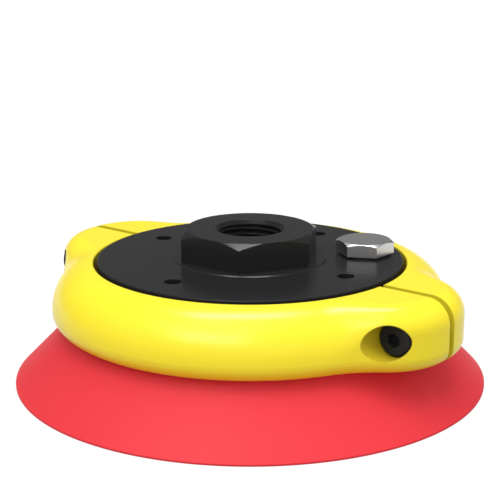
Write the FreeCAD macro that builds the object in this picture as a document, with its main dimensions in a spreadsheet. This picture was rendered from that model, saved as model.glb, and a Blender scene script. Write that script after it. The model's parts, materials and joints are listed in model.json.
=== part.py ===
import FreeCAD, Part
import os
import re
import Sketcher
from FreeCAD import Placement, Rotation, Vector

# Flat vacuum cup: a silicone cup held between an aluminium fitting plate and a two-part moulded clamp.
# Millimetres, +Z up, the cup's lip stands on Z = 0 and the clamp's split line lies along X.

DIMENSIONS = {
    # suction cup
    "lip_d": 113.0,
    "lip_edge": 0.4,
    "lip_rim": 0.8,
    "skirt_step": 3.7,
    "skirt_wall": 4.0,
    "cup_floor": 4.5,
    "cup_eye_d": 36.0,
    "collar_play": 0.1,
    "cleat_count": 12,
    "cleat_inset": 6.0,
    "cleat_gap": 2.0,
    "cleat_w": 3.0,
    "cleat_h": 3.2,
    # clamp halves
    "clamp_base": 13.9,
    "clamp_h": 14.7,
    "clamp_wall": 5.75,
    "clamp_foot_round": 3.7,
    "clamp_upright": 0.2,
    "mouth_gap": 0.9,
    "mouth_lip": 5.6,
    "mouth_edge": 0.2,
    "neck_wall": 3.1,
    "foot_lip": 3.6,
    "bead_reach": 2.0,
    "split_gap": 1.8,
    "lug_end": 7.1,
    "lug_sink": 2.2,
    "lug_flat": 1.9,
    "lug_slant": 15.5,
    "lug_top_round": 5.6,
    "head_blend": 30.0,
    "nut_blend": 45.0,
    # clamp screws and nuts
    "screw_offset": 1.25,
    "screw_lift": 0.1,
    "screw_d": 4.0,
    "screw_play": 0.25,
    "head_d": 7.2,
    "head_h": 4.0,
    "head_chamfer": 0.4,
    "head_seat": 8.3,
    "head_play": 0.3,
    "socket_af": 3.0,
    "socket_depth": 2.0,
    "nut_af": 7.0,
    "nut_h": 3.2,
    "nut_seat": 8.5,
    "nut_play": 0.1,
    "thread_play": 0.05,
    # fitting plate
    "plate_d": 72.8,
    "plate_proud": 0.4,
    "plate_edge": 0.15,
    "plate_foot": 4.0,
    "rim_groove": 2.4,
    "rim_shoulder": 0.6,
    "washer_rim": 1.2,
    "washer_h": 0.25,
    "boss_af": 30.0,
    "boss_h": 7.0,
    "boss_crown": 0.1,
    "crown_angle": 30.0,
    "bore_d": 14.95,
    "bore_chamfer": 0.875,
    "hole_wall": 1.4,
    "pin_d": 4.0,
    "pin_depth": 9.0,
    "pin_count": 4,
    # port plug and its seal
    "port_angle": 43.5,
    "plug_d": 9.7,
    "plug_len": 7.5,
    "plug_af": 12.2,
    "plug_h": 3.1,
    "plug_crown": 0.08,
    "plug_turn": 27.6,
    "seal_inset": 0.25,
    "seal_h": 0.5,
}

doc = FreeCAD.newDocument("flat_vacuum_cup")
sheet = doc.addObject("Spreadsheet::Sheet", "dims")
for row, (alias, size) in enumerate(DIMENSIONS.items(), start=1):
    sheet.set("A%d" % row, alias)
    sheet.set("B%d" % row, str(size))
    sheet.setAlias("B%d" % row, alias)
doc.recompute()


def bound(text):
    """Expression text with every dimension's name pointed at the spreadsheet."""
    def point(match):
        word = match.group(0)
        return "dims." + word if word in DIMENSIONS else word

    return re.sub(r"[a-z_]+", point, text)


def size(text):
    return float(sheet.evalExpression(bound(text)))


def new_body(label):
    body = doc.addObject("PartDesign::Body", label)
    body.Label = label
    return body


def plane(body, role):
    return next(item for item in body.Origin.OriginFeatures if item.Role == role)


def new_sketch(body, name, role, height=None):
    """Sketch on one of the body's own origin planes, lifted along its normal where a height is given."""
    sketch = body.newObject("Sketcher::SketchObject", body.Label + "_" + name)
    sketch.AttachmentSupport = [(plane(body, role), "")]
    sketch.MapMode = "FlatFace"
    if height is not None:
        sketch.setExpression("AttachmentOffset.Base.z", bound(height))
    return sketch


def hold(sketch, kind, args, text):
    index = sketch.addConstraint(Sketcher.Constraint(kind, *args, size(text)))
    sketch.setExpression("Constraints[%d]" % index, bound(text))


def hold_point(sketch, line, end, x_text, y_text):
    """Holds one end of a line at bound distances from the sketch's origin."""
    for kind, text, axis in (("DistanceX", x_text, -2), ("DistanceY", y_text, -1)):
        if text == "0":
            sketch.addConstraint(Sketcher.Constraint("PointOnObject", line, end, axis))
        else:
            hold(sketch, kind, (-1, 1, line, end), text)


def outline(sketch, corners):
    """Closed outline of straight edges through bound corners."""
    spots = [Vector(size(x), size(y), 0) for x, y in corners]
    first = sketch.GeometryCount
    count = len(spots)
    for i in range(count):
        sketch.addGeometry(Part.LineSegment(spots[i], spots[(i + 1) % count]), False)
    for i in range(count):
        sketch.addConstraint(Sketcher.Constraint("Coincident", first + i, 2, first + (i + 1) % count, 1))
    for i, (x, y) in enumerate(corners):
        hold_point(sketch, first + i, 1, x, y)


def circle(sketch, x_text, y_text, r_text):
    spot = Vector(size(x_text), size(y_text), 0)
    index = sketch.addGeometry(Part.Circle(spot, Vector(0, 0, 1), size(r_text)), False)
    hold(sketch, "Radius", (index,), r_text)
    hold_point(sketch, index, 3, x_text, y_text)


def hexagon(sketch, x_text, y_text, af_text, first_corner=0):
    """Regular hexagon: across-flats size bound, one corner at the given angle in degrees."""
    corners = []
    for i in range(6):
        angle = first_corner + 60 * i
        reach = "(%s) / 2 / cos(30 deg)" % af_text
        corners.append((
            "%s + %s * cos(%s deg)" % (x_text, reach, angle),
            "%s + %s * sin(%s deg)" % (y_text, reach, angle),
        ))
    outline(sketch, corners)


def finish(feature, body):
    body.Tip = feature
    doc.recompute()
    return feature


def revolve(body, sketch, name, cut=False):
    kind = "PartDesign::Groove" if cut else "PartDesign::Revolution"
    feature = body.newObject(kind, body.Label + "_" + name)
    feature.Profile = sketch
    feature.ReferenceAxis = (sketch, ["V_Axis"])
    feature.Angle = 360
    return finish(feature, body)


def pad(body, sketch, name, length, reverse=False):
    feature = body.newObject("PartDesign::Pad", body.Label + "_" + name)
    feature.Profile = sketch
    feature.Reversed = reverse
    feature.setExpression("Length", bound(length))
    return finish(feature, body)


def pocket(body, sketch, name, length=None, reverse=False):
    feature = body.newObject("PartDesign::Pocket", body.Label + "_" + name)
    feature.Profile = sketch
    feature.Reversed = reverse
    if length is None:
        feature.Type = "ThroughAll"
    else:
        feature.setExpression("Length", bound(length))
    return finish(feature, body)


def round_edges(body, name, chosen, radius):
    """Fillets the chosen edges of the body's last feature."""
    base = body.Tip
    edges = ["Edge%d" % (i + 1) for i, edge in enumerate(base.Shape.Edges) if chosen(edge)]
    feature = body.newObject("PartDesign::Fillet", body.Label + "_" + name)
    feature.Base = (base, edges)
    feature.setExpression("Radius", bound(radius))
    return finish(feature, body)


def repeat(body, feature, name, count):
    """Polar pattern of a feature about the body's vertical axis."""
    pattern = body.newObject("PartDesign::PolarPattern", body.Label + "_" + name)
    pattern.Originals = [feature]
    pattern.Axis = (plane(body, "Z_Axis"), [""])
    pattern.Angle = 360
    pattern.setExpression("Occurrences", bound(count))
    return finish(pattern, body)


def middle(edge):
    return edge.valueAt((edge.FirstParameter + edge.LastParameter) / 2)


def level(edge, z):
    box = edge.BoundBox
    return abs(box.ZMin - z) < 1e-4 and abs(box.ZMax - z) < 1e-4


def upright(edge):
    box = edge.BoundBox
    return box.XLength < 1e-4 and box.YLength < 1e-4


# Heights that several pieces share
CLAMP_TOP = "clamp_base + clamp_h"
BEAD_TOP = CLAMP_TOP + " - mouth_lip"
BEAD_BASE = "clamp_base + foot_lip"
PLATE_TOP = CLAMP_TOP + " + plate_proud"
PLATE_BASE = BEAD_BASE + " - plate_foot"
BOSS_TOP = PLATE_TOP + " + boss_h"
GROOVE_TOP = BEAD_TOP + " - rim_shoulder"
CAVITY_TOP = PLATE_BASE + " - cup_floor"
SCREW_Z = "clamp_base + clamp_h / 2 + screw_lift"

# Radii, each built on the one inside it
PLATE_R = "plate_d / 2"
GROOVE_R = PLATE_R + " - rim_groove"
COLLAR_R = PLATE_R + " + collar_play"
MOUTH_R = PLATE_R + " + mouth_gap"
NECK_R = PLATE_R + " + neck_wall"
BEAD_R = NECK_R + " + bead_reach"
CLAMP_R = BEAD_R + " + clamp_wall"
SKIRT_R = NECK_R + " + skirt_step"
SCREW_X = CLAMP_R + " + screw_offset"
LUG_X = SCREW_X + " + lug_end"
PORT_R = "plug_d / 2 + thread_play"
HOLE_CIRCLE_R = GROOVE_R + " - hole_wall - (" + PORT_R + ")"
WASHER_R = "boss_af / 2 / cos(30 deg) + washer_rim"

# Place of the plugged port on the hole circle
PORT_X = "(%s) * cos(port_angle * 1 deg)" % HOLE_CIRCLE_R
PORT_Y = "(%s) * sin(port_angle * 1 deg)" % HOLE_CIRCLE_R

# Stack along a clamp screw, and the lug sides that sink its head and its nut
SCREW_LEN = "head_seat + nut_seat + nut_h"
HEAD_SIDE = "head_seat + head_h + lug_sink"
NUT_SIDE = "nut_seat + nut_h + lug_sink"


def make_cup():
    body = new_body("suction_cup")
    # the skirt's inner face keeps a set wall where it meets the cavity's floor
    fall = "(%s - lip_edge) / (clamp_base - lip_edge)" % CAVITY_TOP
    cavity_r = "lip_d / 2 - (lip_d / 2 - (%s)) * %s - skirt_wall" % (SKIRT_R, fall)
    profile = new_sketch(body, "profile", "XZ_Plane")
    outline(profile, [
        ("lip_d / 2 - lip_rim", "0"),
        ("lip_d / 2", "0"),
        ("lip_d / 2", "lip_edge"),
        (SKIRT_R, "clamp_base"),
        (NECK_R + " - collar_play", "clamp_base"),
        (NECK_R + " - collar_play", BEAD_BASE),
        (BEAD_R + " - collar_play", BEAD_BASE),
        (BEAD_R + " - collar_play", BEAD_TOP),
        (COLLAR_R, BEAD_TOP),
        (COLLAR_R, GROOVE_TOP),
        (GROOVE_R + " + collar_play", GROOVE_TOP),
        (GROOVE_R + " + collar_play", BEAD_BASE),
        (COLLAR_R, BEAD_BASE),
        (COLLAR_R, PLATE_BASE),
        ("cup_eye_d / 2", PLATE_BASE),
        ("cup_eye_d / 2", CAVITY_TOP),
        (cavity_r, CAVITY_TOP),
    ])
    revolve(body, profile, "moulding")
    # one cleat under the cup's floor, then the ring of cleats
    foot = new_sketch(body, "cleat_outline", "XY_Plane", CAVITY_TOP)
    inner = "cup_eye_d / 2 + cleat_inset"
    outer = cavity_r + " - cleat_gap"
    outline(foot, [
        (inner, "-cleat_w / 2"),
        (outer, "-cleat_w / 2"),
        (outer, "cleat_w / 2"),
        (inner, "cleat_w / 2"),
    ])
    cleat = pad(body, foot, "cleat", "cleat_h", reverse=True)
    repeat(body, cleat, "cleats", "cleat_count")
    # the port opens through the floor, between two cleats
    port = new_sketch(body, "port_outline", "XY_Plane", PLATE_BASE)
    circle(port, PORT_X, PORT_Y, PORT_R)
    pocket(body, port, "port")
    return body


def make_clamp_blank():
    """Outer form of the whole clamp: a disc and two lugs, blended in plan and rounded along the top."""
    body = new_body("clamp_blank")
    bar = new_sketch(body, "lug_outline", "XY_Plane", "clamp_base")
    waist = "(%s + %s) / 2 + (%s) * tan(lug_slant * 1 deg)" % (HEAD_SIDE, NUT_SIDE, LUG_X)
    outline(bar, [
        (LUG_X, NUT_SIDE),
        ("0", waist),
        ("-(%s)" % LUG_X, HEAD_SIDE),
        ("-(%s)" % LUG_X, "-(%s)" % NUT_SIDE),
        ("0", "-(%s)" % waist),
        (LUG_X, "-(%s)" % HEAD_SIDE),
    ])
    pad(body, bar, "lugs", "clamp_h")
    lug_end = size(LUG_X)
    ring_r = size(CLAMP_R)

    def on_end(edge):
        return upright(edge) and abs(abs(middle(edge).x) - lug_end) < 1e-3

    def on_ring(spot):
        return abs((spot.x ** 2 + spot.y ** 2) ** 0.5 - ring_r) < 1e-3

    # the corners leave a narrow flat on the end of each lug
    corner = "(%s + %s - lug_flat) / 2 / tan((90 - lug_slant) / 2 * 1 deg)" % (HEAD_SIDE, NUT_SIDE)
    round_edges(body, "lug_corners", on_end, corner)
    disc = new_sketch(body, "disc_outline", "XY_Plane", "clamp_base")
    circle(disc, "0", "0", CLAMP_R)
    pad(body, disc, "disc", "clamp_h")
    # at +X the screw head sinks into the -Y side and the nut into the +Y side, and at -X the other way round
    seams = [("nut_blends", 1, "nut_blend"), ("head_blends", -1, "head_blend")]
    for name, side, radius in seams:
        round_edges(body, name, lambda edge: (
            upright(edge) and on_ring(middle(edge)) and side * middle(edge).x * middle(edge).y > 0
        ), radius)
    # the top round is large on the ring, small on the lugs, and changes along the blends between them;
    # each edge's two radii are given in anticlockwise order
    ring_round = size("clamp_h - clamp_foot_round - clamp_upright")
    lug_round = size("lug_top_round")
    rounds = []
    for i, edge in enumerate(body.Shape.Edges, start=1):
        if level(edge, size(CLAMP_TOP)):
            ends = [edge.valueAt(edge.FirstParameter), edge.valueAt(edge.LastParameter)]
            if ends[0].cross(ends[1]).z < 0:
                ends.reverse()
            rounds.append((i, *[ring_round if on_ring(spot) else lug_round for spot in ends]))
    form = doc.addObject("Part::Fillet", "clamp_form")
    form.Base = body
    form.Edges = rounds
    doc.recompute()
    return form


def make_clamp_half(label, form):
    """One clamp half, modelled on the -Y side: screw-head lug at +X and nut lug at -X."""
    body = new_body(label)
    body.BaseFeature = form
    doc.recompute()
    round_edges(body, "foot", lambda edge: level(edge, size("clamp_base")), "clamp_foot_round")
    mouth = new_sketch(body, "mouth_section", "XZ_Plane")
    outline(mouth, [
        ("0", "clamp_base - foot_lip"),
        (NECK_R, "clamp_base - foot_lip"),
        (NECK_R, BEAD_BASE),
        (BEAD_R, BEAD_BASE),
        (BEAD_R, BEAD_TOP),
        (MOUTH_R, BEAD_TOP),
        (MOUTH_R, CLAMP_TOP + " - mouth_edge"),
        (MOUTH_R + " + mouth_edge + mouth_lip", CLAMP_TOP + " + mouth_lip"),
        ("0", CLAMP_TOP + " + mouth_lip"),
    ])
    revolve(body, mouth, "mouth", cut=True)

    split = new_sketch(body, "split_outline", "XY_Plane")
    outline(split, [
        ("-2 * (%s)" % LUG_X, "-split_gap / 2"),
        ("2 * (%s)" % LUG_X, "-split_gap / 2"),
        ("2 * (%s)" % LUG_X, "2 * (%s)" % LUG_X),
        ("-2 * (%s)" % LUG_X, "2 * (%s)" % LUG_X),
    ])
    pocket(body, split, "split", reverse=True)

    drill = new_sketch(body, "screw_holes", "XZ_Plane")
    circle(drill, SCREW_X, SCREW_Z, "screw_d / 2 + screw_play")
    circle(drill, "-(%s)" % SCREW_X, SCREW_Z, "screw_d / 2 + screw_play")
    pocket(body, drill, "drilling", reverse=True)
    head = new_sketch(body, "counterbore_outline", "XZ_Plane", "head_seat")
    circle(head, SCREW_X, SCREW_Z, "head_d / 2 + head_play")
    pocket(body, head, "counterbore", reverse=True)
    trap = new_sketch(body, "nut_trap_outline", "XZ_Plane", "nut_seat")
    hexagon(trap, "-(%s)" % SCREW_X, SCREW_Z, "nut_af + 2 * nut_play", 30)
    pocket(body, trap, "nut_trap", reverse=True)
    return body


def make_plate():
    body = new_body("fitting_plate")
    profile = new_sketch(body, "profile", "XZ_Plane")
    outline(profile, [
        ("0", PLATE_BASE),
        (PLATE_R, PLATE_BASE),
        (PLATE_R, BEAD_BASE),
        (GROOVE_R, BEAD_BASE),
        (GROOVE_R, GROOVE_TOP),
        (PLATE_R, GROOVE_TOP),
        (PLATE_R, PLATE_TOP + " - plate_edge"),
        (PLATE_R + " - plate_edge", PLATE_TOP),
        (WASHER_R, PLATE_TOP),
        (WASHER_R + " - washer_h / tan(crown_angle * 1 deg)", PLATE_TOP + " + washer_h"),
        ("0", PLATE_TOP + " + washer_h"),
    ])
    revolve(body, profile, "disc")
    six = new_sketch(body, "boss_outline", "XY_Plane", PLATE_TOP)
    hexagon(six, "0", "0", "boss_af")
    pad(body, six, "boss", "boss_h")
    crown = new_sketch(body, "crown_section", "XZ_Plane")
    crown_r = "boss_af / 2 + boss_crown"
    outline(crown, [
        (crown_r, BOSS_TOP),
        (WASHER_R, BOSS_TOP),
        (WASHER_R, BOSS_TOP + " - (%s - (%s)) * tan(crown_angle * 1 deg)" % (WASHER_R, crown_r)),
    ])
    revolve(body, crown, "crown", cut=True)
    bore = new_sketch(body, "bore_section", "XZ_Plane")
    outline(bore, [
        ("0", PLATE_BASE + " - boss_h"),
        ("bore_d / 2", PLATE_BASE + " - boss_h"),
        ("bore_d / 2", BOSS_TOP + " - bore_chamfer"),
        ("bore_d / 2 + bore_chamfer", BOSS_TOP),
        ("bore_d / 2 + bore_chamfer", BOSS_TOP + " + boss_h"),
        ("0", BOSS_TOP + " + boss_h"),
    ])
    revolve(body, bore, "bore", cut=True)
    pin = new_sketch(body, "pin_outline", "XY_Plane", PLATE_TOP)
    circle(pin, HOLE_CIRCLE_R, "0", "pin_d / 2")
    pin_hole = pocket(body, pin, "pin_hole", "pin_depth")
    repeat(body, pin_hole, "pin_holes", "pin_count")
    port = new_sketch(body, "port_outline", "XY_Plane", PLATE_TOP)
    circle(port, PORT_X, PORT_Y, PORT_R)
    pocket(body, port, "port")
    return body


def make_plug():
    body = new_body("port_plug")
    shank = new_sketch(body, "shank_outline", "XY_Plane")
    circle(shank, "0", "0", "plug_d / 2")
    pad(body, shank, "shank", "plug_len + seal_h", reverse=True)
    six = new_sketch(body, "head_outline", "XY_Plane")
    hexagon(six, "0", "0", "plug_af")
    pad(body, six, "head", "plug_h")
    crown = new_sketch(body, "crown_section", "XZ_Plane")
    crown_r = "plug_af / 2 - plug_crown"
    outline(crown, [
        (crown_r, "plug_h"),
        ("plug_af", "plug_h"),
        ("plug_af", "plug_h - (plug_af - (%s)) * tan(crown_angle * 1 deg)" % crown_r),
    ])
    revolve(body, crown, "crown", cut=True)
    return body


def make_seal():
    body = new_body("plug_seal")
    ring = new_sketch(body, "ring_outline", "XY_Plane")
    circle(ring, "0", "0", "plug_af / 2 - seal_inset")
    circle(ring, "0", "0", PORT_R)
    pad(body, ring, "ring", "seal_h")
    return body


def make_screw(label):
    """Socket-head screw, modelled with its head's seat on Z = 0 and its shank down -Z."""
    body = new_body(label)
    profile = new_sketch(body, "profile", "XZ_Plane")
    outline(profile, [
        ("0", "-(%s)" % SCREW_LEN),
        ("screw_d / 2 - head_chamfer", "-(%s)" % SCREW_LEN),
        ("screw_d / 2", "head_chamfer - (%s)" % SCREW_LEN),
        ("screw_d / 2", "0"),
        ("head_d / 2", "0"),
        ("head_d / 2", "head_h - head_chamfer"),
        ("head_d / 2 - head_chamfer", "head_h"),
        ("0", "head_h"),
    ])
    revolve(body, profile, "turning")
    socket = new_sketch(body, "socket_outline", "XY_Plane", "head_h")
    hexagon(socket, "0", "0", "socket_af", 30)
    pocket(body, socket, "socket", "socket_depth")
    return body


def make_nut(label):
    """Hexagon nut, modelled with its seat on Z = 0 and its outer face up."""
    body = new_body(label)
    six = new_sketch(body, "outline", "XY_Plane")
    hexagon(six, "0", "0", "nut_af", 30)
    pad(body, six, "hexagon", "nut_h")
    hole = new_sketch(body, "thread_outline", "XY_Plane", "nut_h")
    circle(hole, "0", "0", "screw_d / 2 + thread_play")
    pocket(body, hole, "thread")
    crown = new_sketch(body, "crown_section", "XZ_Plane")
    outline(crown, [
        ("nut_af / 2", "nut_h"),
        ("nut_af", "nut_h"),
        ("nut_af", "nut_h - nut_af / 2 * tan(crown_angle * 1 deg)"),
    ])
    revolve(body, crown, "crown", cut=True)
    return body


def place(body, x, y, z, turn):
    body.Placement = Placement(Vector(size(x), size(y), size(z)), turn)
    for axis, text in (("x", x), ("y", y), ("z", z)):
        if text != "0":
            body.setExpression("Placement.Base." + axis, bound(text))


AXIS_X = Vector(1, 0, 0)
AXIS_Z = Vector(0, 0, 1)
HALF_TURN = Rotation(AXIS_Z, 180)
FACE_FRONT = Rotation(AXIS_X, 90)
FACE_REAR = HALF_TURN.multiply(FACE_FRONT)

cup = make_cup()
fitting = make_plate()
plug = make_plug()
seal = make_seal()
clamp_form = make_clamp_blank()
front = make_clamp_half("clamp_front", clamp_form)
rear = make_clamp_half("clamp_rear", clamp_form)
screw_right = make_screw("clamp_screw_right")
screw_left = make_screw("clamp_screw_left")
nut_right = make_nut("clamp_nut_right")
nut_left = make_nut("clamp_nut_left")

rear.Placement = Placement(Vector(0, 0, 0), HALF_TURN)
place(seal, PORT_X, PORT_Y, PLATE_TOP, Rotation())
place(plug, PORT_X, PORT_Y, PLATE_TOP + " + seal_h", Rotation(AXIS_Z, size("plug_turn")))
place(screw_right, SCREW_X, "-head_seat", SCREW_Z, FACE_FRONT)
place(screw_left, "-(%s)" % SCREW_X, "head_seat", SCREW_Z, FACE_REAR)
place(nut_left, "-(%s)" % SCREW_X, "-nut_seat", SCREW_Z, FACE_FRONT)
place(nut_right, SCREW_X, "nut_seat", SCREW_Z, FACE_REAR)
doc.recompute()

for item in doc.Objects:
    if "Invalid" in item.State or "Error" in item.State:
        raise RuntimeError("feature failed: " + item.Label)

os.makedirs("parts", exist_ok=True)
for body in (cup, fitting, plug, seal, front, rear, screw_right, screw_left, nut_right, nut_left):
    shape = body.Shape
    if shape.isNull() or not shape.isValid():
        raise RuntimeError("no sound solid: " + body.Label)
    print("%-18s %d solid %9.1f mm3" % (body.Label, len(shape.Solids), shape.Volume))
    shape.exportStep("parts/%s.step" % body.Label)
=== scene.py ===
import json
import math

import bmesh
import bpy
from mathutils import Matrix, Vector


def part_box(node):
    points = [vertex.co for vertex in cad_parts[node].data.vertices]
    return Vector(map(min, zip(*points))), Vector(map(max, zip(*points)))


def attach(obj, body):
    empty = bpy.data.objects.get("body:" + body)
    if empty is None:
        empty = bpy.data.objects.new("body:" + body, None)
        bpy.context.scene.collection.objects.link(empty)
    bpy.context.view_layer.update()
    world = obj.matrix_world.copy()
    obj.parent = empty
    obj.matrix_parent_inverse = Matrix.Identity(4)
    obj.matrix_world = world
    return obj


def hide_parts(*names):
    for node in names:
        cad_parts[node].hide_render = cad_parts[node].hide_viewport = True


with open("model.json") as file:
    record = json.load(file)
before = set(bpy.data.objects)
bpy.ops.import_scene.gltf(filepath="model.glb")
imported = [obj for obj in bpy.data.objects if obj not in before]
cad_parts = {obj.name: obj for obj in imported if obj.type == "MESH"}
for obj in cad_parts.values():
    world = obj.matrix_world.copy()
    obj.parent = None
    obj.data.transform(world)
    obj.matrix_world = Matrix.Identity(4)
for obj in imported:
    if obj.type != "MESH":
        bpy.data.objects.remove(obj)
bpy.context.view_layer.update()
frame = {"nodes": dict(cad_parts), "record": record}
nodes = frame["nodes"]
scene = bpy.context.scene
mm = 0.001
print("frame loaded:", len(nodes), "nodes")

# what all finishes share
finishLook = {
    "noiseDetail": 3.0,
    "noiseLow": 0.15,  # the noise hardly leaves this span, so no roughness is cut off
    "noiseHigh": 0.85,
    "edgeSamples": 6,
}


# helpers for node trees
def addNode(tree, kind, **settings):
    node = tree.nodes.new(kind)
    for name, value in settings.items():
        setattr(node, name, value)
    return node


def mathNode(tree, operation, first, second=None, clamp=False):
    node = addNode(tree, "ShaderNodeMath", operation=operation, use_clamp=clamp)
    for socket, value in zip(node.inputs, (first, second)):
        if isinstance(value, (int, float)):
            socket.default_value = value
        elif value is not None:
            tree.links.new(value, socket)
    return node.outputs[0]


def distanceOf(tree, first, second):
    squares = [mathNode(tree, "POWER", value, 2.0) for value in (first, second)]
    return mathNode(tree, "SQRT", mathNode(tree, "ADD", *squares))


def rangeOf(tree, source, low, high, fromLow, fromHigh):
    # maps a span of the source's value onto low to high
    ranged = addNode(tree, "ShaderNodeMapRange")
    ranged.inputs["From Min"].default_value = fromLow
    ranged.inputs["From Max"].default_value = fromHigh
    ranged.inputs["To Min"].default_value = low
    ranged.inputs["To Max"].default_value = high
    tree.links.new(source, ranged.inputs["Value"])
    return ranged.outputs["Result"]


def tintBetween(tree, factor, first, second):
    mix = addNode(tree, "ShaderNodeMix", data_type="RGBA")
    sockets = [s for s in mix.inputs if s.name in ("A", "B") and s.type == "RGBA"]
    for socket, value in zip(sockets, (first, second)):
        if isinstance(value, tuple):
            socket.default_value = (*value, 1)
        else:
            tree.links.new(value, socket)
    tree.links.new(factor, mix.inputs["Factor"])
    return next(s for s in mix.outputs if s.type == "RGBA")


def noiseOn(tree, scale):
    # noise on the piece's own coordinates, scale in features per metre
    coords = addNode(tree, "ShaderNodeTexCoord")
    noise = addNode(tree, "ShaderNodeTexNoise")
    noise.inputs["Scale"].default_value = scale
    noise.inputs["Detail"].default_value = finishLook["noiseDetail"]
    tree.links.new(coords.outputs["Object"], noise.inputs["Vector"])
    return noise.outputs["Fac"]


def softEdges(tree, shader, look):
    # rounds hard edges in the shading, with a fine grain on top where the finish has one
    bevel = addNode(tree, "ShaderNodeBevel", samples=finishLook["edgeSamples"])
    bevel.inputs["Radius"].default_value = look["edgeRound"]
    normal = bevel.outputs["Normal"]
    if "grainScale" in look:
        bump = addNode(tree, "ShaderNodeBump")
        bump.inputs["Distance"].default_value = look["grainDepth"]
        tree.links.new(noiseOn(tree, look["grainScale"]), bump.inputs["Height"])
        tree.links.new(normal, bump.inputs["Normal"])
        normal = bump.outputs["Normal"]
    tree.links.new(normal, shader.inputs["Normal"])


def mottledFinish(name, look, paintedShadeOverlay=None):
    # tint and roughness drift a little over the surface, and what is fixed goes on its own socket
    material = bpy.data.materials.new(name)
    material.use_nodes = True
    tree = material.node_tree
    shader = next(n for n in tree.nodes if n.type == "BSDF_PRINCIPLED")
    mottle = noiseOn(tree, look["mottleScale"])
    tint = tintBetween(tree, mottle, look["tint"], look["tintDrift"])
    # where given, the overlay paints shade into the tint
    if paintedShadeOverlay:
        tint = paintedShadeOverlay(tree, tint, look)
    tree.links.new(tint, shader.inputs["Base Color"])
    rough = rangeOf(tree, mottle, look["roughLow"], look["roughHigh"],
                    finishLook["noiseLow"], finishLook["noiseHigh"])
    tree.links.new(rough, shader.inputs["Roughness"])
    for socket, value in look["fixed"].items():
        shader.inputs[socket].default_value = value
    softEdges(tree, shader, look)
    return material


# clamp: yellow moulded plastic, with painted shade in its recesses
clampLook = {
    "tint": (0.985, 0.812, 0.0345),
    "tintDrift": (0.965, 0.791, 0.0326),
    # the two darker tints below are painted shade for the split and mouth walls and the screw bores
    "tintPaintedShade": (0.535, 0.49, 0.016),
    "tintBoreShade": (0.364, 0.235, 0.0105),
    "splitReach": 0.95 * mm,  # from the split's middle
    "splitDepth": 0.60,  # share of the painted shade that shows there
    "mouthReach": 37.52 * mm,  # from the part's axis
    "mouthDepth": 0.50,
    "boreReach": 4.0 * mm,  # from the screw's axis
    "boreDepth": 0.60,
    "shadeBlend": 0.06 * mm,
    "mottleScale": 90.0,
    "roughLow": 0.24,
    "roughHigh": 0.28,
    "grainScale": 5200.0,
    "grainDepth": 0.012 * mm,
    "edgeRound": 0.22 * mm,
    "fixed": {"Specular IOR Level": 0.21},
}


def paintedRecessShade(tree, tint, look):
    # painted shade: olive on the walls of the split and of the clamp's mouth, brown in the screw
    # bores
    coords = addNode(tree, "ShaderNodeTexCoord")
    split = addNode(tree, "ShaderNodeSeparateXYZ")
    tree.links.new(coords.outputs["Object"], split.inputs["Vector"])
    x, y, z = split.outputs
    corners = [Vector(c) for c in nodes["clamp_screw_right"].bound_box]
    screw = sum(corners, Vector()) / len(corners)
    fromSplit = mathNode(tree, "ABSOLUTE", y)
    fromAxis = distanceOf(tree, x, y)
    besideScrew = mathNode(tree, "SUBTRACT", mathNode(tree, "ABSOLUTE", x), screw.x)
    fromScrew = distanceOf(tree, besideScrew, mathNode(tree, "SUBTRACT", z, screw.z))
    shadeMasks = []
    for recess, distance in (("split", fromSplit), ("mouth", fromAxis), ("bore", fromScrew)):
        reach = look[recess + "Reach"]
        depth = look[recess + "Depth"]
        shadeMasks.append(rangeOf(tree, distance, depth, 0.0, reach, reach + look["shadeBlend"]))
    splitShadeMask, mouthShadeMask, boreShadeMask = shadeMasks
    wallShadeMask = mathNode(tree, "MAXIMUM", splitShadeMask, mouthShadeMask)
    tint = tintBetween(tree, wallShadeMask, tint, look["tintPaintedShade"])
    return tintBetween(tree, boreShadeMask, tint, look["tintBoreShade"])


# cup: red matte silicone
cupLook = {
    "tint": (0.765, 0.0387, 0.0512),
    "tintDrift": (0.742, 0.0369, 0.0487),
    "mottleScale": 60.0,
    "roughLow": 0.50,
    "roughHigh": 0.60,
    "grainScale": 4200.0,
    "grainDepth": 0.015 * mm,
    "edgeRound": 0.25 * mm,
    "fixed": {"Specular IOR Level": 0.15, "Sheen Weight": 0.015},
}

# plate: black anodised aluminium
plateLook = {
    "tint": (0.0168, 0.0158, 0.0163),
    "tintDrift": (0.0193, 0.0183, 0.0188),
    "mottleScale": 140.0,
    "roughLow": 0.19,
    "roughHigh": 0.24,
    "grainScale": 6500.0,
    "grainDepth": 0.006 * mm,
    "edgeRound": 0.18 * mm,
    "fixed": {"Specular IOR Level": 0.09},
}

# plug: satin plated metal
plugLook = {
    "tint": (0.64, 0.63, 0.625),
    "tintDrift": (0.62, 0.61, 0.605),
    "mottleScale": 160.0,
    "roughLow": 0.29,
    "roughHigh": 0.32,
    "grainScale": 5200.0,
    "grainDepth": 0.005 * mm,
    "edgeRound": 0.20 * mm,
    "fixed": {"Metallic": 1.0},
}

# screws: black oxide steel
screwLook = {
    "tint": (0.019, 0.019, 0.019),
    "tintDrift": (0.023, 0.023, 0.023),
    "mottleScale": 700.0,
    "roughLow": 0.46,
    "roughHigh": 0.56,
    "edgeRound": 0.12 * mm,
    "fixed": {"Specular IOR Level": 0.10},
}

# nuts: the same steel as the screws, with the shade of their traps painted in: blacker and duller
nutShadedLook = {
    "tint": (0.008, 0.008, 0.008),
    "tintDrift": (0.011, 0.011, 0.011),
    "mottleScale": 700.0,
    "roughLow": 0.66,
    "roughHigh": 0.76,
    "edgeRound": 0.12 * mm,
    "fixed": {"Specular IOR Level": 0.03},
}

# seal under the plug's head: black rubber
sealLook = {
    "tint": (0.014, 0.014, 0.014),
    "tintDrift": (0.020, 0.020, 0.020),
    "mottleScale": 900.0,
    "roughLow": 0.60,
    "roughHigh": 0.72,
    "edgeRound": 0.10 * mm,
    "fixed": {"Specular IOR Level": 0.30},
}

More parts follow.
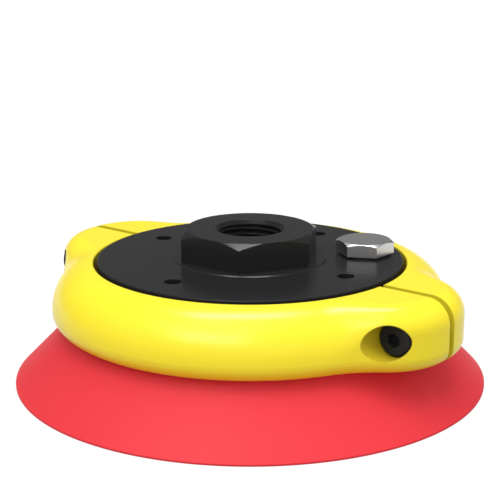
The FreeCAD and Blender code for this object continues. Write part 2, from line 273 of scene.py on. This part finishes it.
finishes = {
    "clamp_plastic": mottledFinish("clampPlastic", clampLook, paintedRecessShade),
    "cup_silicone": mottledFinish("cupSilicone", cupLook),
    "plate_black": mottledFinish("plateAnodised", plateLook),
    "plug_metal": mottledFinish("plugMetal", plugLook),
    "screw_black": mottledFinish("screwBlack", screwLook),
    "seal_rubber": mottledFinish("sealRubber", sealLook),
}
nutShadedFinish = mottledFinish("nutShadedBlack", nutShadedLook)
for entry in frame["record"]["subparts"]:
    piece = nodes[entry["node"]]
    piece.data.materials.clear()
    # nuts in their traps take the copy of the screw steel that is darkened as painted shade
    inTrap = entry["node"].startswith("clamp_nut")
    piece.data.materials.append(nutShadedFinish if inTrap else finishes[entry["material_slot"]])
print("finishes set on", len(nodes), "nodes")


# boss thread: the plate again, with a real pipe thread cut in its bore
threadSizes = {
    "pitch": 1.337 * mm,
    "depth": 0.856 * mm,
    "rowsPerTurn": 10,
    "flat": 0.16,  # share of half a pitch that is flat at the crest, and again at the root
    "runOut": 0.7,  # in pitches
    "sharpAbove": 24.0,
    "slack": 0.02 * mm,  # a corner this near to the bore's wall counts as on it
    "weld": 0.005 * mm,  # loose corners this near are merged
    "turnDigits": 3,  # corners whose turns agree to so many digits count once
}


def boreEdges(mesh, core, sizes):
    # heights of the two ends of the bore's wall, and how many corners go round it
    slack = sizes["slack"]
    onWall = [v.co for v in mesh.vertices if abs(v.co.xy.length - core) < slack]
    low = min(co.z for co in onWall)
    high = max(co.z for co in onWall)
    lowest = [co for co in onWall if co.z - low < slack]
    around = len({round(math.atan2(co.y, co.x), sizes["turnDigits"]) for co in lowest})
    return low, high, around


def threadTree(sizes, material):
    tree = bpy.data.node_groups.new("boreThread", "GeometryNodeTree")
    sockets = {}
    kinds = {"Float": ("Core", "Depth", "Pitch", "Low", "High"), "Int": ("Around", "Rows")}
    for kind, names in kinds.items():
        for name in names:
            socket = tree.interface.new_socket(name, in_out="INPUT", socket_type="NodeSocket" + kind)
            sockets[name] = socket.identifier
    tree.interface.new_socket("Geometry", in_out="OUTPUT", socket_type="NodeSocketGeometry")
    given = addNode(tree, "NodeGroupInput")
    grid = addNode(tree, "GeometryNodeMeshGrid")
    grid.inputs["Size X"].default_value = 1.0
    grid.inputs["Size Y"].default_value = 1.0
    tree.links.new(given.outputs["Around"], grid.inputs["Vertices X"])
    tree.links.new(given.outputs["Rows"], grid.inputs["Vertices Y"])
    place = addNode(tree, "GeometryNodeInputPosition")
    split = addNode(tree, "ShaderNodeSeparateXYZ")
    tree.links.new(place.outputs["Position"], split.inputs["Vector"])
    half = 0.5  # the grid is a unit square about the origin
    turn = mathNode(tree, "ADD", split.outputs["X"], half)
    rise = mathNode(tree, "ADD", split.outputs["Y"], half)
    span = mathNode(tree, "SUBTRACT", given.outputs["High"], given.outputs["Low"])
    climb = mathNode(tree, "MULTIPLY", rise, span)
    height = mathNode(tree, "ADD", climb, given.outputs["Low"])
    # right-hand helix: the same place on the thread's profile climbs one pitch per turn
    turns = mathNode(tree, "DIVIDE", height, given.outputs["Pitch"])
    phase = mathNode(tree, "FRACT", mathNode(tree, "SUBTRACT", turns, turn))
    doubled = mathNode(tree, "MULTIPLY", phase, 2.0)
    fold = mathNode(tree, "ABSOLUTE", mathNode(tree, "SUBTRACT", doubled, 1.0))
    flank = mathNode(tree, "SUBTRACT", mathNode(tree, "SUBTRACT", 1.0, fold), sizes["flat"])
    profile = mathNode(tree, "DIVIDE", flank, 1.0 - 2 * sizes["flat"], clamp=True)
    # the groove runs out to nothing at both ends of the wall
    fromLow = mathNode(tree, "SUBTRACT", height, given.outputs["Low"])
    fromHigh = mathNode(tree, "SUBTRACT", given.outputs["High"], height)
    room = mathNode(tree, "MINIMUM", fromLow, fromHigh)
    runOut = mathNode(tree, "MULTIPLY", given.outputs["Pitch"], sizes["runOut"])
    fade = mathNode(tree, "DIVIDE", room, runOut, clamp=True)
    share = mathNode(tree, "MULTIPLY", profile, fade)
    cut = mathNode(tree, "MULTIPLY", share, given.outputs["Depth"])
    radius = mathNode(tree, "ADD", given.outputs["Core"], cut)
    angle = mathNode(tree, "MULTIPLY", turn, 2 * math.pi)
    across = mathNode(tree, "MULTIPLY", radius, mathNode(tree, "COSINE", angle))
    along = mathNode(tree, "MULTIPLY", radius, mathNode(tree, "SINE", angle))
    joined = addNode(tree, "ShaderNodeCombineXYZ")
    for axis, value in zip("XYZ", (across, along, height)):
        tree.links.new(value, joined.inputs[axis])
    bend = addNode(tree, "GeometryNodeSetPosition")
    tree.links.new(grid.outputs["Mesh"], bend.inputs["Geometry"])
    tree.links.new(joined.outputs["Vector"], bend.inputs["Position"])
    realize = addNode(tree, "GeometryNodeRealizeInstances")
    tree.links.new(bend.outputs["Geometry"], realize.inputs["Geometry"])
    coat = addNode(tree, "GeometryNodeSetMaterial")
    coat.inputs["Material"].default_value = material
    tree.links.new(realize.outputs["Geometry"], coat.inputs["Geometry"])
    out = addNode(tree, "NodeGroupOutput")
    tree.links.new(coat.outputs["Geometry"], out.inputs["Geometry"])
    return tree, sockets


def meshFromTree(name, tree, sockets, values):
    # one plain mesh from a geometry tree, with the modifier's inputs set by identifier
    holder = bpy.data.objects.new(name, bpy.data.meshes.new(name))
    scene.collection.objects.link(holder)
    modifier = holder.modifiers.new(name, "NODES")
    modifier.node_group = tree
    for socketName, value in values.items():
        modifier[sockets[socketName]] = value
    evaluated = holder.evaluated_get(bpy.context.evaluated_depsgraph_get())
    mesh = bpy.data.meshes.new_from_object(evaluated)
    bpy.data.objects.remove(holder)
    return mesh


def threadedPlate(sizes, material):
    plate = nodes["fitting_plate"]
    mount = next(m for m in frame["record"]["mounts"] if m["name"] == "boss_thread")
    core = mount["dims"]["r_mm"] * mm
    slack = sizes["slack"]
    low, high, around = boreEdges(plate.data, core, sizes)
    rows = round((high - low) / sizes["pitch"] * sizes["rowsPerTurn"]) + 1
    tree, sockets = threadTree(sizes, material)
    thread = meshFromTree("boreThread", tree, sockets, {
        "Core": core, "Depth": sizes["depth"], "Pitch": sizes["pitch"],
        "Low": low, "High": high, "Around": around + 1, "Rows": rows,
    })
    build = bmesh.new()
    build.from_mesh(plate.data)
    bmesh.ops.remove_doubles(build, verts=build.verts, dist=sizes["weld"])
    # the plain wall comes out and the threaded one takes its place
    wall = [f for f in build.faces if all(abs(v.co.xy.length - core) < slack for v in f.verts)]
    bmesh.ops.delete(build, geom=wall, context="FACES")
    build.from_mesh(thread)
    bmesh.ops.remove_doubles(build, verts=build.verts, dist=slack)
    bmesh.ops.recalc_face_normals(build, faces=build.faces)
    openEdges = sum(1 for e in build.edges if not e.is_manifold)
    mesh = bpy.data.meshes.new("fitting_plate_threaded")
    build.to_mesh(mesh)
    build.free()
    mesh.materials.clear()
    mesh.materials.append(material)
    # corner normals of the old wall no longer fit, so they are worked out again
    mesh.attributes.remove(mesh.attributes["custom_normal"])
    mesh.shade_smooth()
    mesh.set_sharp_from_angle(angle=math.radians(sizes["sharpAbove"]))
    piece = bpy.data.objects.new("fitting_plate_threaded", mesh)
    scene.collection.objects.link(piece)
    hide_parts("fitting_plate")
    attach(piece, "root")
    print("thread:", around, "corners round,", rows, "rows,", openEdges, "open edges")


threadedPlate(threadSizes, finishes["plate_black"])


# stage: a white floor that keeps a faint shadow
floorLook = {
    "reach": 6.0,
    "drop": 0.05 * mm,
    "openShare": 0.97,  # of the lip's radius
    "sides": 96,
    "bounce": (0.28, 0.28, 0.28),
    "glow": 0.84,
    "shadowShare": (0.16, 0.16, 0.16),
}


def floorRing(look):
    # a wide ring: the lip covers its opening, which lets the underside be lit and looked at
    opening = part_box("suction_cup")[1][0] * look["openShare"]
    sides = look["sides"]
    corners = []
    for radius in (opening, look["reach"]):
        for step in range(sides):
            turn = 2 * math.pi * step / sides
            corners.append((radius * math.cos(turn), radius * math.sin(turn), -look["drop"]))
    faces = []
    for step in range(sides):
        after = (step + 1) % sides
        faces.append((step, sides + step, sides + after, after))
    mesh = bpy.data.meshes.new("floor")
    mesh.from_pydata(corners, [], faces)
    return mesh


def floorPaper(look):
    # seen directly or in a reflection it is white, and it sends little light back up to the object
    material = bpy.data.materials.new("floorPaper")
    material.use_nodes = True
    tree = material.node_tree
    tree.nodes.clear()
    plain = addNode(tree, "ShaderNodeBsdfDiffuse")
    plain.inputs["Color"].default_value = (*look["bounce"], 1)
    glow = addNode(tree, "ShaderNodeEmission")
    glow.inputs["Strength"].default_value = look["glow"]
    shade = addNode(tree, "ShaderNodeBsdfDiffuse")
    shade.inputs["Color"].default_value = (*look["shadowShare"], 1)
    white = addNode(tree, "ShaderNodeAddShader")
    tree.links.new(glow.outputs[0], white.inputs[0])
    tree.links.new(shade.outputs[0], white.inputs[1])
    path = addNode(tree, "ShaderNodeLightPath")
    seen = mathNode(tree, "MAXIMUM", path.outputs["Is Camera Ray"], path.outputs["Is Glossy Ray"])
    seen = mathNode(tree, "MAXIMUM", seen, path.outputs["Is Transmission Ray"])
    mix = addNode(tree, "ShaderNodeMixShader")
    tree.links.new(seen, mix.inputs[0])
    tree.links.new(plain.outputs[0], mix.inputs[1])
    tree.links.new(white.outputs[0], mix.inputs[2])
    out = addNode(tree, "ShaderNodeOutputMaterial")
    tree.links.new(mix.outputs[0], out.inputs["Surface"])
    return material


def paleFloor(look):
    mesh = floorRing(look)
    mesh.materials.append(floorPaper(look))
    floor = bpy.data.objects.new("floor", mesh)
    scene.collection.objects.link(floor)


paleFloor(floorLook)

# camera at the photo's viewing angle
cameraPlace = {
    "azimuth": 38.5,
    "distance": 304.0 * mm,
    "height": 112.25 * mm,
    "pitchDown": 15.05,
    "focalPixels": 1317.53,
    "framePixels": 500.0,
    "sensor": 36.0,
    "nearest": 10.0 * mm,
    "farthest": 20.0,
}


def photoCamera(place):
    data = bpy.data.cameras.new("photoCamera")
    data.sensor_width = place["sensor"]
    data.lens = place["focalPixels"] * place["sensor"] / place["framePixels"]
    data.clip_start = place["nearest"]
    data.clip_end = place["farthest"]
    camera = bpy.data.objects.new("photoCamera", data)
    turn = math.radians(place["azimuth"])
    away = place["distance"]
    camera.location = (away * math.sin(turn), -away * math.cos(turn), place["height"])
    camera.rotation_euler = (math.radians(90 - place["pitchDown"]), 0, turn)
    scene.collection.objects.link(camera)
    scene.camera = camera


photoCamera(cameraPlace)

# light: soft lamps above and on the camera's side, boxes that only the gloss shows, and a dim sky
lightRig = {
    "cameraTurn": cameraPlace["azimuth"],
    "lampDistance": 1.0,
    # turn from the camera's side, rise, spread, and how bright a white face turned to the lamp shows
    "lamps": {
        "lampOverhead": (0.0, 82.0, 42.0, 0.425),
        "lampLeftHigh": (-42.0, 60.0, 45.0, 0.344),
        "lampLeftLow": (-85.0, 36.0, 50.0, 0.10),
        "lampRight": (90.0, 40.0, 60.0, 0.222),
        "lampFrontLow": (5.0, 12.0, 60.0, 0.181),
    },
    "shinyLamps": ("lampLeftHigh",),  # lamps that the gloss shows too
    # turn from the camera's side, rise, width, height and power
    "glossBoxes": {
        "glossStrip": (191.0, 77.0, 0.50, 0.20, 7.5),
        "glossFront": (-25.0, 42.5, 0.54, 0.36, 4.6),
    },
    "skyBack": 0.21,
    "skyFront": 0.52,
    "skyAbove": 0.30,
    "skyBelow": 0.95,
    # how far a direction leans to the camera's side, or up, where each part of the sky fades
    "frontFrom": -0.15,
    "frontTo": 0.65,
    "aboveFrom": 0.45,
    "aboveTo": 0.70,
    "belowFrom": -0.30,
    "belowTo": -0.10,
}


def towards(turn, rise):
    around = math.radians(turn)
    upward = math.radians(rise)
    level = math.cos(upward)
    return Vector((math.sin(around) * level, -math.cos(around) * level, math.sin(upward)))


def aimedLight(name, kind, rig, turn, rise):
    light = bpy.data.objects.new(name, bpy.data.lights.new(name, kind))
    direction = towards(rig["cameraTurn"] + turn, rise)
    light.location = direction * rig["lampDistance"]
    light.rotation_euler = direction.to_track_quat("Z", "Y").to_euler()
    scene.collection.objects.link(light)
    return light


def softLamp(name, rig, turn, rise, spread, level):
    lamp = aimedLight(name, "SUN", rig, turn, rise)
    lamp.data.energy = math.pi * level
    lamp.data.angle = math.radians(spread)
    lamp.visible_glossy = name in rig["shinyLamps"]


def glossBox(name, rig, turn, rise, width, height, power):
    box = aimedLight(name, "AREA", rig, turn, rise)
    box.data.shape = "RECTANGLE"
    box.data.size = width
    box.data.size_y = height
    box.data.energy = power
    box.visible_diffuse = False


def studioSky(rig):
    # bright towards the camera's side and under the floor, dim behind, soft overhead
    world = bpy.data.worlds.new("studioSky")
    world.use_nodes = True
    tree = world.node_tree
    background = next(n for n in tree.nodes if n.type == "BACKGROUND")
    background.inputs["Color"].default_value = (1, 1, 1, 1)
    coords = addNode(tree, "ShaderNodeTexCoord")
    split = addNode(tree, "ShaderNodeSeparateXYZ")
    tree.links.new(coords.outputs["Generated"], split.inputs["Vector"])
    facing = addNode(tree, "ShaderNodeVectorMath", operation="DOT_PRODUCT")
    facing.inputs[1].default_value = towards(rig["cameraTurn"], 0)
    tree.links.new(coords.outputs["Generated"], facing.inputs[0])
    front = rangeOf(tree, facing.outputs["Value"], rig["skyBack"], rig["skyFront"],
                    rig["frontFrom"], rig["frontTo"])
    up = split.outputs["Z"]
    above = rangeOf(tree, up, 0.0, rig["skyAbove"], rig["aboveFrom"], rig["aboveTo"])
    below = rangeOf(tree, up, rig["skyBelow"], 0.0, rig["belowFrom"], rig["belowTo"])
    level = mathNode(tree, "MAXIMUM", mathNode(tree, "MAXIMUM", front, above), below)
    tree.links.new(level, background.inputs["Strength"])
    scene.world = world


for name, setting in lightRig["lamps"].items():
    softLamp(name, lightRig, *setting)
for name, setting in lightRig["glossBoxes"].items():
    glossBox(name, lightRig, *setting)
studioSky(lightRig)
scene.view_settings.view_transform = "Standard"
print("stage, camera and light set")
